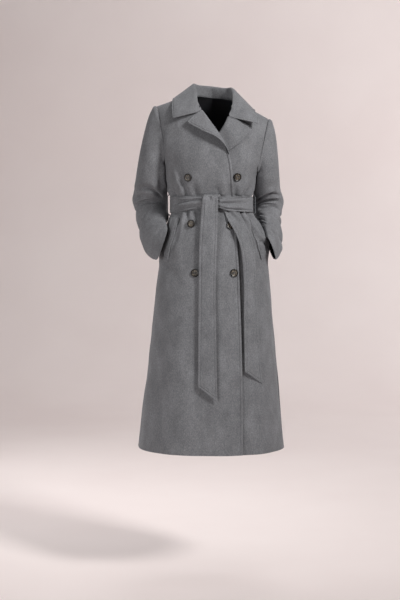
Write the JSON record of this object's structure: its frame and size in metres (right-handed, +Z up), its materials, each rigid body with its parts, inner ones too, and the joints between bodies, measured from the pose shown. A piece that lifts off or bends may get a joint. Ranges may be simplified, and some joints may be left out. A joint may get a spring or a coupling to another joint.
{
  "type": "wrap coat",
  "caption": "Long double-breasted wool wrap coat in its worn form, with notched lapels, slanted welt pockets and a tied belt with hanging ends.",
  "frame": {"origin": "middle of the neck opening at the height of the shoulders, where the wearer's body holds the coat up", "axes": "+Z up, towards the wearer's head; the front of the coat faces -Y; the wearer's left arm is on the +X side"},
  "size_m": [0.513, 0.3755, 1.2212],
  "materials": {
    "wool": "brushed grey coating wool",
    "horn": "polished dark mottled horn"
  },
  "bodies": {
    "root": {"back": "wool", "belt_band": "wool", "belt_knot": "wool", "belt_loop_left": "wool", "belt_loop_right": "wool", "belt_tail_left": "wool", "belt_tail_right": "wool", "collar": "wool", "left_front": "wool", "left_lapel": "wool", "left_pocket_welt": "wool", "left_sleeve": "wool", "right_front": "wool", "right_lapel": "wool", "right_pocket_welt": "wool", "right_sleeve": "wool", "button_left_low": "horn", "button_left_middle": "horn", "button_left_top": "horn", "button_right_low": "horn", "button_right_middle": "horn", "button_right_top": "horn"}
  },
  "joints": []
}
